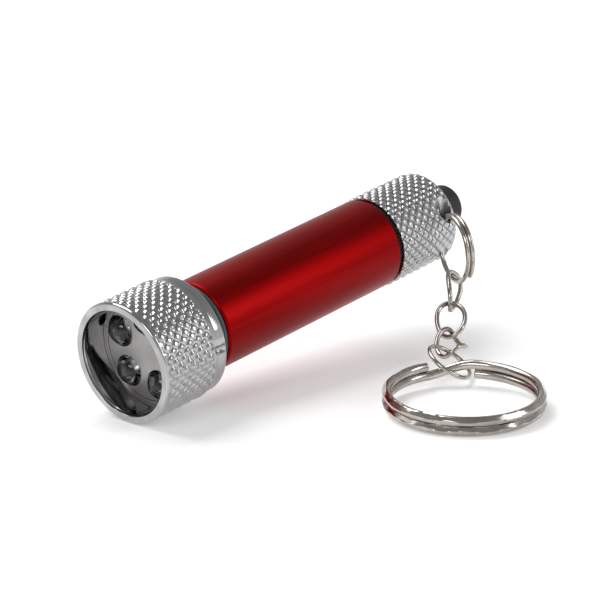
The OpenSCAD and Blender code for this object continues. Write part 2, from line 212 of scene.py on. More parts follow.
def arc(centre, r, a0, a1, n):
    """Points of an arc in (radius, height), its angles in degrees."""
    angles = [math.radians(a0 + (a1 - a0) * i / n) for i in range(n + 1)]
    return [(centre[0] + r * math.cos(a), centre[1] + r * math.sin(a)) for a in angles]


# ---------------------------------------------------------------- meshes


def new_object(name, points, faces, body, sharp=35, marks=None, attributes=None):
    """A smooth-shaded mesh object in the part's frame, riding on a body. points are in mm."""
    mesh = bpy.data.meshes.new(name)
    mesh.from_pydata((np.asarray(points) * MM).tolist(), [], faces)
    mesh.validate()
    for key, values in (attributes or {}).items():
        layer = mesh.attributes.new(key, "FLOAT", "POINT")
        layer.data.foreach_set("value", np.asarray(values, np.float32))
    if marks is not None:
        mesh.polygons.foreach_set("material_index", np.asarray(marks, np.int32))
    mesh.shade_smooth()
    mesh.set_sharp_from_angle(angle=math.radians(sharp))
    mesh.update()
    obj = bpy.data.objects.new(name, mesh)
    bpy.context.scene.collection.objects.link(obj)
    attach(obj, body)
    return obj


def lathe(name, profile, body, segments, closed=True, relief=None, sharp=35, place=laid):
    """Turns (radius, height, material) points about the z axis. The points run front to rear on
    the outside and back on the inside, which makes the faces point outwards. relief gives how deep
    the surface lies under the profile at (radians, height), and is multiplied by a point's fourth
    value. A point without one stays on the profile."""
    r = np.array([p[0] for p in profile], float)
    z = np.array([p[1] for p in profile], float)
    marks = [p[2] for p in profile]
    theta = np.arange(segments) * TAU / segments
    n = len(profile)
    radius = np.repeat(r[:, None], segments, 1)
    height = np.repeat(z[:, None], segments, 1)
    depth = np.zeros_like(radius)
    if relief is not None:
        for i, p in enumerate(profile):
            if len(p) > 3:
                depth[i] = relief(theta, z[i]) * p[3]
    radius = radius - depth
    points = np.stack([radius * np.cos(theta), radius * np.sin(theta), height], 2).reshape(-1, 3)
    faces, kinds = [], []
    for i in range(n if closed else n - 1):
        k = (i + 1) % n
        for j in range(segments):
            m = (j + 1) % segments
            a, b, c, d = i * segments + j, i * segments + m, k * segments + m, k * segments + j
            if r[i] < ON_AXIS:
                faces.append((a, c, d))
            elif r[k] < ON_AXIS:
                faces.append((a, b, c))
            else:
                faces.append((a, b, c, d))
            kinds.append(marks[i])
    if not closed:
        points, faces = weld_poles(points, faces, r, segments)
    # Each point's relief depth as a share of the deepest, which the knurled finishes use as a mask of
    # painted shade.
    attributes = None
    if relief is not None:
        attributes = {"groove": depth.reshape(-1) / depth.max()}
    return new_object(name, place(points), faces, body, sharp, kinds, attributes)


def weld_poles(points, faces, r, segments):
    """Gives each row of points on the axis one shared point."""
    shared = {}
    for i, radius in enumerate(r):
        if radius < ON_AXIS:
            for j in range(segments):
                shared[i * segments + j] = i * segments
    keep = [i for i in range(len(points)) if shared.get(i, i) == i]
    index = {old: new for new, old in enumerate(keep)}
    faces = [tuple(index[shared.get(v, v)] for v in f) for f in faces]
    return points[keep], faces


def sweep(name, path, sides, r, body, rim=20, closed=True, shape=None, rounded=0.5):
    """A round wire along a path. sides holds a vector square to the wire at each point. shape
    changes the offsets of every cross-section's points from the path. A cut end's edge is rounded
    by the share rounded of r."""
    path, sides = np.asarray(path, float), np.asarray(sides, float)
    n = len(path)
    if closed:
        along = np.roll(path, -1, 0) - np.roll(path, 1, 0)
    else:
        along = np.gradient(path, axis=0)
    along /= np.linalg.norm(along, axis=1, keepdims=True)
    u = np.cross(along, sides)
    u /= np.linalg.norm(u, axis=1, keepdims=True)
    v = np.cross(u, along)
    angles = np.arange(rim) * TAU / rim
    cosines = np.cos(angles)[None, :, None]
    sines = np.sin(angles)[None, :, None]
    offsets = r * (u[:, None] * cosines + v[:, None] * sines)
    if shape is not None:
        offsets = shape(offsets)
    rings = path[:, None] + offsets
    if not closed:
        rings = np.concatenate([
            round_end(rings[0], path[0], along[0], rounded * r)[::-1],
            rings[1:-1],
            round_end(rings[-1], path[-1], -along[-1], rounded * r),
        ])
        n = len(rings)
    faces = []
    for i in range(n if closed else n - 1):
        k = (i + 1) % n
        for j in range(rim):
            m = (j + 1) % rim
            faces.append((i * rim + j, i * rim + m, k * rim + m, k * rim + j))
    if not closed:
        faces.append(tuple(range(rim - 1, -1, -1)))
        faces.append(tuple((n - 1) * rim + j for j in range(rim)))
    return new_object(name, rings.reshape(-1, 3), faces, body, sharp=50)


def round_end(ring, centre, inward, r):
    """The last rings of a cut wire, whose sheared edge is rounded by r: widest first."""
    steps = 4
    spokes = ring - centre
    size = np.linalg.norm(spokes, axis=1, keepdims=True)
    out = []
    for k in range(steps + 1):
        a = math.radians(90 * k / steps)
        back = r * (1 - math.sin(a))
        shrink = r * (1 - math.cos(a))
        out.append(centre + inward * back + spokes * (1 - shrink / size))
    return np.array(out)


# ---------------------------------------------------------------- materials


class Finish:
    """A procedural material. Its methods add nodes and return their sockets."""

    def __init__(self, name, **values):
        self.material = bpy.data.materials.new(name)
        self.material.use_nodes = True
        self.tree = self.material.node_tree
        self.shader = self.tree.nodes["Principled BSDF"]
        for key, value in values.items():
            self.shader.inputs[key.replace("_", " ")].default_value = value

    def node(self, kind, **values):
        made = self.tree.nodes.new(kind)
        for key, value in values.items():
            setattr(made, key, value)
        return made

    def link(self, source, target):
        self.tree.links.new(source, target)

    def place(self, scale, torch=True):
        """Object coordinates in the torch's own frame or in the part's, scaled per axis."""
        coords = self.node("ShaderNodeTexCoord").outputs["Object"]
        if torch:
            turned = self.node("ShaderNodeMapping")
            turned.inputs["Rotation"].default_value = (0, -(math.pi / 2 - TILT), 0)
            self.link(coords, turned.inputs["Vector"])
            coords = turned.outputs["Vector"]
        scaled = self.node("ShaderNodeVectorMath", operation="MULTIPLY")
        scaled.inputs[1].default_value = scale
        self.link(coords, scaled.inputs[0])
        return scaled.outputs["Vector"]

    def noise(self, scale, detail=3.0, torch=True, rough=0.5):
        """Noise with this many cells to the metre along each axis."""
        made = self.node("ShaderNodeTexNoise")
        made.inputs["Scale"].default_value = 1.0
        made.inputs["Detail"].default_value = detail
        made.inputs["Roughness"].default_value = rough
        self.link(self.place(scale, torch), made.inputs["Vector"])
        return made.outputs["Fac"]

    def ramp(self, factor, stops):
        """A colour from a factor, through (place, colour) stops."""
        made = self.node("ShaderNodeValToRGB")
        elements = made.color_ramp.elements
        while len(elements) < len(stops):
            elements.new(0.5)
        for element, (at, colour) in zip(elements, stops):
            element.position = at
            element.color = (*colour, 1)
        self.link(factor, made.inputs["Fac"])
        return made.outputs["Color"]

    def spread(self, factor, low, high):
        """Maps the middle of a noise, 0.3 to 0.7, onto low to high."""
        made = self.node("ShaderNodeMapRange")
        made.inputs["From Min"].default_value = 0.3
        made.inputs["From Max"].default_value = 0.7
        made.inputs["To Min"].default_value = low
        made.inputs["To Max"].default_value = high
        self.link(factor, made.inputs["Value"])
        return made.outputs["Result"]

    def mix(self, factor, a, b):
        """Blends colour b over a; each is a colour or a socket."""
        made = self.node("ShaderNodeMix", data_type="RGBA")
        self.link(factor, made.inputs["Factor"])
        for value, socket in ((a, made.inputs[6]), (b, made.inputs[7])):
            if isinstance(value, tuple):
                socket.default_value = (*value, 1)
            else:
                self.link(value, socket)
        return made.outputs[2]

    def colour(self, socket):
        self.link(socket, self.shader.inputs["Base Color"])
        return self

    def rough(self, factor, low, high):
        self.link(self.spread(factor, low, high), self.shader.inputs["Roughness"])
        return self

    def bump(self, factor, strength, distance):
        made = self.node("ShaderNodeBump")
        made.inputs["Strength"].default_value = strength
        made.inputs["Distance"].default_value = distance
        self.link(factor, made.inputs["Height"])
        before = self.shader.inputs["Normal"]
        if before.is_linked:
            self.link(before.links[0].from_socket, made.inputs["Normal"])
        self.link(made.outputs["Normal"], before)
        return self

    def attribute(self, name):
        """A value that the mesh holds at each of its points."""
        return self.node("ShaderNodeAttribute", attribute_name=name).outputs["Fac"]

    def radius(self):
        """Distance from the torch's axis, in metres."""
        flat = self.place((1, 1, 0))
        made = self.node("ShaderNodeVectorMath", operation="LENGTH")
        self.link(flat, made.inputs[0])
        return made.outputs["Value"]

    def band(self, value, centre, half):
        """1 within half of centre, falling off to 0 at twice that."""
        offset = self.node("ShaderNodeMath", operation="SUBTRACT")
        offset.inputs[1].default_value = centre
        self.link(value, offset.inputs[0])
        size = self.node("ShaderNodeMath", operation="ABSOLUTE")
        self.link(offset.outputs[0], size.inputs[0])
        made = self.node("ShaderNodeMapRange")
        made.inputs["From Min"].default_value = half
        made.inputs["From Max"].default_value = 2 * half
        made.inputs["To Min"].default_value = 1
        made.inputs["To Max"].default_value = 0
        self.link(size.outputs[0], made.inputs["Value"])
        return made.outputs["Result"]


def polished():
    f = Finish("polished_lip", Metallic=1.0)
    marks = f.noise((300, 300, 9000))
    f.colour(f.ramp(marks, [(0.3, (0.36, 0.36, 0.365)), (0.7, (0.52, 0.52, 0.525))]))
    return f.rough(marks, 0.05, 0.11).bump(marks, 0.03, 0.00002).material


def knurled(name, low, high):
    """Bright knurled metal, with painted shade that darkens it in the grooves."""
    f = Finish(name, Metallic=1.0)
    grain = f.noise((1800, 1800, 1800), detail=4, rough=0.6)
    bright = f.ramp(grain, [(0.3, low), (0.7, high)])
    # Painted shade: the deeper a point lies in a groove, the nearer its colour comes to this dark grey.
    groove = f.ramp(f.attribute("groove"), [(0.45, (0, 0, 0)), (0.95, (0.9, 0.9, 0.9))])
    f.colour(f.mix(groove, bright, (0.16, 0.155, 0.15)))
    return f.rough(grain, 0.19, 0.31).bump(grain, 0.12, 0.00003).material


def turned(name, low, high, rough, strength=0.12):
    """Turned metal: fine lines run round the torch, with slow changes of tone between them."""
    f = Finish(name, Metallic=1.0, Anisotropic=0.35)
    lines = f.noise((90, 90, 14000), detail=5, rough=0.65)
    f.colour(f.ramp(lines, [(0.3, low), (0.7, high)]))
    return f.rough(lines, rough - 0.06, rough + 0.08).bump(lines, strength, 0.00002).material


def cup_wall():
    """The bored inside of the head: brownish grey, with streaks round and across it."""
    f = Finish("cup_wall", Metallic=1.0)
    lines = f.noise((110, 110, 6500), detail=5, rough=0.65)
    blotch = f.noise((420, 420, 120))
    tone = f.ramp(lines, [
        (0.25, (0.09, 0.08, 0.072)),
        (0.55, (0.25, 0.225, 0.205)),
        (0.8, (0.46, 0.43, 0.40)),
    ])
    f.colour(f.mix(f.spread(blotch, 0.0, 0.5), tone, (0.14, 0.125, 0.115)))
    return f.rough(lines, 0.24, 0.42).bump(lines, 0.30, 0.00003).material


def plate():
    """Satin metallised plate, with a ring of painted shade near its edge standing for a shallow step."""
    f = Finish("satin_plate", Metallic=0.85)
    grain = f.noise((2500, 2500, 300), detail=4)
    cloud = f.noise((130, 130, 130), detail=2)
    tone = f.ramp(cloud, [(0.3, (0.30, 0.285, 0.28)), (0.7, (0.46, 0.445, 0.44))])
    # Painted shade: a dark ring 7.85 mm from the axis, where a shallow step would cast shade.
    f.colour(f.mix(f.band(f.radius(), 7.85 * MM, 0.05 * MM), tone, (0.07, 0.06, 0.055)))
    return f.rough(grain, 0.30, 0.42).bump(grain, 0.06, 0.00003).material


def red_anodised():
    """Dyed anodising on a lengthwise-brushed tube, under a thin gloss."""
    f = Finish("red_anodised", Metallic=1.0, Coat_Weight=0.05, Coat_Roughness=0.20, Coat_IOR=1.4)
    brush = f.noise((5200, 5200, 110), detail=4, rough=0.6)
    cloud = f.noise((150, 150, 35), detail=2)
    tone = f.ramp(brush, [(0.25, (0.23, 0.0, 0.0005)), (0.75, (0.35, 0.0005, 0.001))])
    f.colour(f.mix(f.spread(cloud, 0.0, 0.4), tone, (0.15, 0.0, 0.0005)))
    return f.rough(brush, 0.34, 0.46).bump(brush, 0.10, 0.00002).material


def rubber(name, colour, low, high):
    f = Finish(name)
    grain = f.noise((3500, 3500, 3500), detail=5, rough=0.7)
    dark = tuple(c * 0.7 for c in colour)
    f.colour(f.ramp(grain, [(0.3, dark), (0.7, colour)]))
    return f.rough(grain, low, high).bump(grain, 0.25, 0.00004).material


def moulded(name, colour, gloss=0.4):
    f = Finish(name)
    grain = f.noise((900, 900, 900), detail=4)
    dark = tuple(c * 0.85 for c in colour)
    f.colour(f.ramp(grain, [(0.3, dark), (0.7, colour)]))
    return f.rough(grain, gloss - 0.08, gloss + 0.08).bump(grain, 0.08, 0.00003).material


def plated(name, low, high, rough=0.14):
    """Plated drawn wire: warm metal, with faint pits and tarnish in the worn places."""
    f = Finish(name, Metallic=1.0)
    grain = f.noise((900, 900, 900), detail=5, torch=False, rough=0.65)
    cloud = f.noise((170, 170, 170), torch=False)
    tone = f.ramp(grain, [(0.3, low), (0.7, high)])
    f.colour(f.mix(f.spread(cloud, 0.0, 0.45), tone, (0.26, 0.23, 0.205)))
    return f.rough(cloud, rough - 0.05, rough + 0.10).bump(grain, 0.10, 0.00004).material


def resin():
    f = Finish("led_resin", Transmission_Weight=1.0, IOR=1.52, Base_Color=(0.50, 0.51, 0.53, 1))
    cloud = f.noise((700, 700, 700))
    return f.rough(cloud, 0.0, 0.06).bump(cloud, 0.05, 0.00005).material


def phosphor():
    f = Finish("led_phosphor")
    grain = f.noise((4000, 4000, 4000), detail=4)
    f.colour(f.ramp(grain, [(0.3, (0.55, 0.48, 0.12)), (0.7, (0.80, 0.72, 0.25))]))
    return f.rough(grain, 0.5, 0.7).material


KNURL = knurled("knurled_head", (0.46, 0.46, 0.465), (0.62, 0.62, 0.625))
CAP_KNURL = knurled("knurled_cap", (0.44, 0.44, 0.45), (0.60, 0.60, 0.61))
LIP = polished()
BAND = turned("satin_band", (0.40, 0.40, 0.41), (0.56, 0.56, 0.57), 0.22)
BARE = turned("bare_metal", (0.60, 0.60, 0.61), (0.74, 0.74, 0.75), 0.30)
CUP = cup_wall()
PLATE = plate()
RED = red_anodised()
SEAL = rubber("seal_rubber", (0.050, 0.068, 0.068), 0.32, 0.48)
BUTTON = rubber("button_rubber", (0.010, 0.010, 0.011), 0.50, 0.66)
BLACK = moulded("black_plastic", (0.020, 0.020, 0.022))
WHITE = moulded("white_plastic", (0.80, 0.80, 0.78))
SLEEVE = moulded("sleeve_plastic", (0.82, 0.82, 0.76), 0.3)
BOARD = moulded("board_green", (0.03, 0.20, 0.08), 0.25)
NICKEL = plated("nickel_wire", (0.40, 0.37, 0.34), (0.56, 0.53, 0.49))
RING_NICKEL = plated("nickel_ring", (0.44, 0.40, 0.37), (0.60, 0.56, 0.53))
SPRING = plated("spring_wire", (0.55, 0.48, 0.30), (0.72, 0.64, 0.42), 0.2)
CELL = turned("cell_steel", (0.58, 0.58, 0.59), (0.72, 0.72, 0.73), 0.25, 0.06)
BRASS = turned("brass", (0.62, 0.44, 0.16), (0.80, 0.60, 0.26), 0.25)
RESIN = resin()
PHOSPHOR = phosphor()


def dress(obj, *materials):
    obj.data.materials.clear()
    for material in materials:
        obj.data.materials.append(material)


# ---------------------------------------------------------------- knurling


def knurl(count):
    """A diamond knurl: two families of grooves cross at every half pitch, leaving flattened points."""
    flatness, slope = 1.3, 0.7

    def relief(theta, z):
        turns = count * theta / TAU
        a, b = turns + z / KNURL_PITCH, turns - z / KNURL_PITCH
        points = np.abs(np.sin(math.pi * a)) * np.abs(np.sin(math.pi * b))
        return KNURL_DEPTH * (1 - np.minimum(1, flatness * points) ** slope)

    return relief


def knurl_rows(r, z0, z1, material, fade0=0.0, fade1=0.0):
    """Profile rows of a knurled stretch, with the knurling running out over fade0 and fade1."""
    least = 1e-3
    n = int(round((z1 - z0) / KNURL_PITCH * KNURL_DETAIL))
    rows = []
    for i in range(n + 1):
        z = z0 + (z1 - z0) * i / n
        keep = 1.0
        if fade0:
            keep = min(keep, (z - z0) / fade0)
        if fade1:
            keep = min(keep, (z1 - z) / fade1)
        rows.append((r, z, material, max(keep, least)))
    return rows


def thread_rows(z0, z1, material):
    """Profile rows of a thread, drawn as rings cut into the spigot."""
    root = THREAD_R - THREAD_DEPTH
    turns = int((z1 - z0) / THREAD_PITCH)
    step = (z1 - z0) / turns
    rows = []
    for i in range(turns):
        z = z0 + i * step
        for share, r in ((0.08, THREAD_R), (0.45, root), (0.55, root), (0.92, THREAD_R)):
            rows.append((r, z + share * step, material))
    return rows


# ---------------------------------------------------------------- head


def mark(points, material):
    """Profile points of one material."""
    return [(r, z, material) for r, z in points]


def make_head():
    lip, knurling, band, cup, bare = range(5)
    land = LIP_LAND * 0.4
    groove_z = BARREL_Z - HEAD_GAP
    end_z = BARREL_Z + THREAD_LEN
    profile = mark(arc((MOUTH_R + land, land), land, 180, 270, 5), lip)
    profile += mark(arc((HEAD_R - LIP_R, LIP_R), LIP_R, -90, 0, 8), lip)
    profile += knurl_rows(HEAD_R, 0.55, KNURL_END, knurling, 0.5, 0.12)
    profile += mark([
        (HEAD_R - 0.02, KNURL_END + 0.02),
        (BAND_R + 0.03, KNURL_END + BAND_STEP - 0.04),
        (BAND_R, KNURL_END + BAND_STEP + 0.03),
        (BAND_R, KNURL_END + 1.2),
    ], band)
    profile += mark(arc((BAND_R - LIP_R, HEAD_LEN - LIP_R), LIP_R, 0, 90, 8), band)
    profile += mark([
        (THREAD_R + 0.2, HEAD_LEN),
        (THREAD_R, HEAD_LEN + 0.15),
        (THREAD_R, groove_z),
        (THREAD_R - O_SEAT, groove_z + 0.01),
        (THREAD_R - O_SEAT, BARREL_Z - 0.01),
        (THREAD_R, BARREL_Z),
    ], bare)
    profile += thread_rows(BARREL_Z + THREAD_RUNOUT, end_z - THREAD_LEAD, bare)
    profile += mark([
        (THREAD_R - THREAD_LEAD, end_z),
        (SPIGOT_R, end_z),
        (SPIGOT_R, HEAD_FLOOR_Z),
    ], bare)
    profile += mark([
        (CUP_R, HEAD_FLOOR_Z),
        (CUP_R, PLATE_Z + 1),
        (CUP_R, PLATE_Z - 1),
        (CUP_R, 1.4),
        (CUP_R, LIP_LAND + LIP_IN + 0.1),
    ], cup)
    profile += mark([
        (CUP_R + 0.02, LIP_LAND + LIP_IN),
        (MOUTH_R - 0.01, LIP_LAND),
    ], lip)
    segments = HEAD_KNURLS * KNURL_DETAIL
    head = lathe("head_detail", profile, "head", segments, relief=knurl(HEAD_KNURLS), sharp=40)
    dress(head, LIP, KNURL, BAND, CUP, BARE)
    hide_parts("head_shell")


def lens_profile():
    """An LED's clear body: a dome, a straight side and the rim at its foot."""
    dome = []
    for degrees in range(0, 91, 6):
        a = math.radians(degrees)
        dome.append((LED_R * math.sin(a), LED_R * (1 - math.cos(a))))
    return mark(dome + [
        (LED_R, LED_LEN - 1.02),
        (LED_R + 0.22, LED_LEN - 0.98),
        (LED_R + 0.24, LED_LEN - 0.03),
        (LED_R, LED_LEN),
        (0, LED_LEN),
    ], 0)


def beside(origin):
    """How a lathe's points are placed when its axis runs through origin, along the torch."""

    def place(points):
        return laid(np.asarray(points) + origin)

    return place


def make_leds():
    """Each LED is a clear resin dome over its lead frame: a reflector cup on one post, with the
    chip's phosphor in it, and a shorter second post."""
    metal, glow = 0, 1
    sharp = 30
    cup_shift, blade_shift = 0.25, -1.35
    bowl = mark([(0, 4.1), (0.30, 4.1)], glow)
    bowl += mark([
        (0.42, 4.05), (0.95, 3.35), (1.12, 3.35), (1.12, 3.9),
        (0.75, 4.6), (0.45, 4.9), (0.40, 8.6), (0, 8.6),
    ], metal)
    blade = mark([(0, 3.75), (0.45, 3.75), (0.52, 4.5), (0.30, 5.0), (0.25, 8.6), (0, 8.6)], metal)
    for i in range(LEDS):
        a = math.radians(LED_CLOCK + 360 / LEDS * i)
        centre = np.array([LED_RING_R * math.cos(a), LED_RING_R * math.sin(a), LED_TIP_Z])
        across = np.array([-math.sin(a), math.cos(a), 0])
        name, place = f"led_lens_{i + 1}", beside(centre)
        lens = lathe(name, lens_profile(), "head", 72, closed=False, sharp=sharp, place=place)
        dress(lens, RESIN)
        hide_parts(f"led_{i + 1}")
        name, place = f"led_post_{i + 1}", beside(centre + across * cup_shift)
        post = lathe(name, bowl, "head", 36, closed=False, sharp=sharp, place=place)
        dress(post, BARE, PHOSPHOR)
        name, place = f"led_blade_{i + 1}", beside(centre + across * blade_shift)
        second = lathe(name, blade, "head", 24, closed=False, sharp=sharp, place=place)
        dress(second, BARE)


# ---------------------------------------------------------------- barrel, tail cap, button


def make_barrel():
    red, bare = 0, 1
    thread = THREAD_R + 0.05
    relief = THREAD_LEN + 0.6
    edge, inset, steps = 0.03, 0.45, 16
    profile = mark([
        (thread, BARREL_Z),
        (BARREL_R - BARREL_EDGE, BARREL_Z),
        (BARREL_R - edge, BARREL_Z + BARREL_EDGE - edge),
    ], bare)
    profile += mark([(BARREL_R, BARREL_Z + BARREL_EDGE + edge)], red)
    for i in range(steps + 1):
        z = BARREL_Z + inset + (BARREL_LEN - 2 * inset) * i / steps
        profile += mark([(BARREL_R, z)], red)
    profile += mark([
        (BARREL_R, BARREL_END_Z - BARREL_EDGE - edge),
        (BARREL_R - edge, BARREL_END_Z - BARREL_EDGE + edge),
        (BARREL_R - BARREL_EDGE, BARREL_END_Z),
        (thread, BARREL_END_Z),
        (thread, BARREL_END_Z - relief),
        (BORE_R, BARREL_END_Z - relief),
        (BORE_R, BARREL_Z + relief),
        (thread, BARREL_Z + relief),
    ], bare)
    barrel = lathe("barrel_detail", profile, "barrel", 256)
    dress(barrel, RED, BARE)
    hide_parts("barrel_tube")


def make_drill():
    """A cylinder along the lanyard hole, longer than the cap is wide."""
    count, reach = 48, 9
    radius = HOLE_R + HOLE_EASE
    a = math.radians(HOLE_CLOCK)
    along = laid([math.cos(a), math.sin(a), 0])
    rear = laid([0, 0, 1])
    side = np.cross(along, rear)
    middle = laid([HOLE_OFFSET * math.sin(a), -HOLE_OFFSET * math.cos(a), HOLE_Z])
    turns = [TAU * i / count for i in range(count)]
    rim = [side * math.cos(t) * radius + rear * math.sin(t) * radius for t in turns]
    points = [middle - along * reach + p for p in rim] + [middle + along * reach + p for p in rim]
    faces = [(i, (i + 1) % count, count + (i + 1) % count, count + i) for i in range(count)]
    faces += [tuple(range(count - 1, -1, -1)), tuple(range(count, 2 * count))]
    drill = new_object("drill", points, faces, "tail")
    solid = bmesh.new()
    solid.from_mesh(drill.data)
    bmesh.ops.recalc_face_normals(solid, faces=solid.faces)
    solid.to_mesh(drill.data)
    solid.free()
    dress(drill, BARE)
    return drill


def make_cap():
    knurling, bare = 0, 1
    sharp, corner_steps = 40, 8
    start_z = BARREL_END_Z - THREAD_LEN
    corner = arc((CAP_R - CAP_CORNER, CAP_END_Z - CAP_CORNER), CAP_CORNER, 0, 90, corner_steps)
    profile = mark([(THREAD_R - O_SEAT, CAP_Z), (CAP_R - 0.3, CAP_Z)], bare)
    profile += knurl_rows(CAP_R, CAP_Z + 0.02, CAP_END_Z - CAP_CORNER, knurling)
    profile += [(r, z, bare, 1 - i / corner_steps) for i, (r, z) in enumerate(corner)]
    profile += mark([
        (BUTTON_R + 0.25, CAP_END_Z),
        (BUTTON_R + 0.05, CAP_END_Z - 0.2),
        (BUTTON_R + 0.05, CAP_FLOOR_Z),
        (SPIGOT_R, CAP_FLOOR_Z),
        (SPIGOT_R, start_z),
        (THREAD_R - THREAD_LEAD, start_z),
    ], bare)
    profile += thread_rows(start_z + THREAD_LEAD, BARREL_END_Z - THREAD_RUNOUT, bare)
    profile += mark([(THREAD_R, BARREL_END_Z), (THREAD_R - O_SEAT, BARREL_END_Z + 0.01)], bare)
    segments = CAP_KNURLS * KNURL_DETAIL
    cap = lathe("cap_detail", profile, "tail", segments, relief=knurl(CAP_KNURLS), sharp=sharp)
    dress(cap, CAP_KNURL, BARE)
    drill = make_drill()
    cut = cap.modifiers.new("lanyard_hole", "BOOLEAN")
    cut.operation = "DIFFERENCE"
    cut.solver = "EXACT"
    cut.object = drill
    cut.material_mode = "TRANSFER"
    bpy.context.view_layer.update()
    evaluated = cap.evaluated_get(bpy.context.evaluated_depsgraph_get())
    mesh = bpy.data.meshes.new_from_object(evaluated)
    cap.modifiers.clear()
    cap.data = mesh
    cap.data.set_sharp_from_angle(angle=math.radians(sharp))
    bpy.data.objects.remove(drill)
    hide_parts("tail_cap")


def make_button():
    """A flange under the cap's floor, a straight stem, and a flat top with a rounded edge."""
    top_z = CAP_END_Z + BUTTON_PROUD
    flat_r = BUTTON_R - BUTTON_EDGE
    edge_z = top_z - BUTTON_DOME - BUTTON_EDGE
    seat_z = CAP_FLOOR_Z - FLANGE_EASE
    flange_z = seat_z - FLANGE_LEN
    bevel = 0.1
    profile = mark([
        (0, flange_z),
        (FLANGE_R - bevel, flange_z),
        (FLANGE_R, flange_z + bevel),
        (FLANGE_R, seat_z - bevel),
        (FLANGE_R - bevel, seat_z),
        (BUTTON_R, seat_z),
        (BUTTON_R, edge_z - 0.3),
    ], 0)
    profile += mark(arc((flat_r, edge_z), BUTTON_EDGE, 0, 80, 12), 0)
    for x in (0.9, 0.8, 0.65, 0.5, 0.35, 0.2, 0):
        profile += mark([(flat_r * x, top_z - BUTTON_DOME * x * x)], 0)
    button = lathe("button_detail", profile, "button", 96, closed=False, sharp=60)
    dress(button, BUTTON)
    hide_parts("push_button")


def make_switch_spring():
    """The button's return spring, with its end turns laid flat."""
    steps, flat_turns = 160, 0.75
    seat = SWITCH_SEAT_Z + SPRING_EASE
    low, high = seat + SPRING_WIRE_R, SPRING_TOP_Z - SPRING_WIRE_R
    path, sides = [], []
    for i in range(steps + 1):
        turns = SPRING_TURNS * i / steps
        a = TAU * turns
        rise = min(1, max(0, (turns - flat_turns) / (SPRING_TURNS - 2 * flat_turns)))
        path.append([SPRING_R * math.cos(a), SPRING_R * math.sin(a), low + (high - low) * rise])
        sides.append([0, 0, 1])
    path, sides = laid(path), laid(sides)
    spring = sweep("switch_spring_detail", path, sides, SPRING_WIRE_R, "tail", rim=12, closed=False)
    dress(spring, SPRING)
    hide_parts("switch_spring")
    axis = tuple(float(v) for v in laid([0, 0, 1]))
    anchor = tuple(float(v) * MM for v in laid([0, 0, seat]))
    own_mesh(spring)


def make_o_ring(node, body, z, wire):
    inner = THREAD_R - O_SEAT + O_EASE
    section = arc((inner + wire / 2, z), wire / 2, 180, -180, 24)[:-1]
    ring = lathe(f"{node}_detail", mark(section, 0), body, 160, sharp=60)
    dress(ring, SEAL)
    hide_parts(node)


# ---------------------------------------------------------------- chain and rings

# The torch rests on the rounded edge of its head
floor_z = -((HEAD_R - LIP_R) * math.cos(TILT) + LIP_R - LIP_R * math.sin(TILT))


def ring_frame():
    """The small split ring's centre, its way out from the hole, its way down and its axis."""
    c, s = math.radians(HOLE_CLOCK), math.radians(RING_SWING)
    seat = HOLE_OFFSET - RING_INSET
    down = laid([math.cos(c), math.sin(c), 0])
    out = laid([math.sin(c) * math.cos(s), -math.cos(c) * math.cos(s), -math.sin(s)])
    hub = laid([seat * math.sin(c), -seat * math.cos(c), HOLE_Z])
    return hub + SMALL_RING_R * out, out, down, np.cross(down, out)


RING_CENTRE, RING_OUT, RING_DOWN, RING_AXIS = ring_frame()


def ring_spoke(degrees):
    """The small ring's way from its centre to its wire, turned from the hole."""
    a = math.radians(degrees)
    return -RING_OUT * math.cos(a) + RING_DOWN * math.sin(a)


def ring_point(degrees):
    """A point of the small ring's wire, which rises by a little over its own width in a turn."""
    rise = RING_AXIS * (2 * WIRE_R + RING_GAP) * (degrees - RING_LEVEL_AT) / 360
    return RING_CENTRE + SMALL_RING_R * ring_spoke(degrees) + rise


KEY_AWAY = turn(AWAY, SIDE, KEY_TILT)
KEY_AXIS = np.cross(SIDE, KEY_AWAY)


def key_offset(degrees):
    """From the key ring's base centre to its wire: level, then the step down inside the gap."""
    t = min(1, max(0, (degrees - (360 - KEY_GAP)) / KEY_GAP))
    upper = 0.5 + 0.5 * math.cos(math.pi * t)
    level = KEY_WIRE_R + (2 * KEY_WIRE_R + KEY_TURN_GAP) * upper
    b = math.radians(KEY_GAP_AT + KEY_GAP / 2 + degrees)
    return KEY_AXIS * level + KEY_RING_R * (math.cos(b) * SIDE + math.sin(b) * KEY_AWAY)


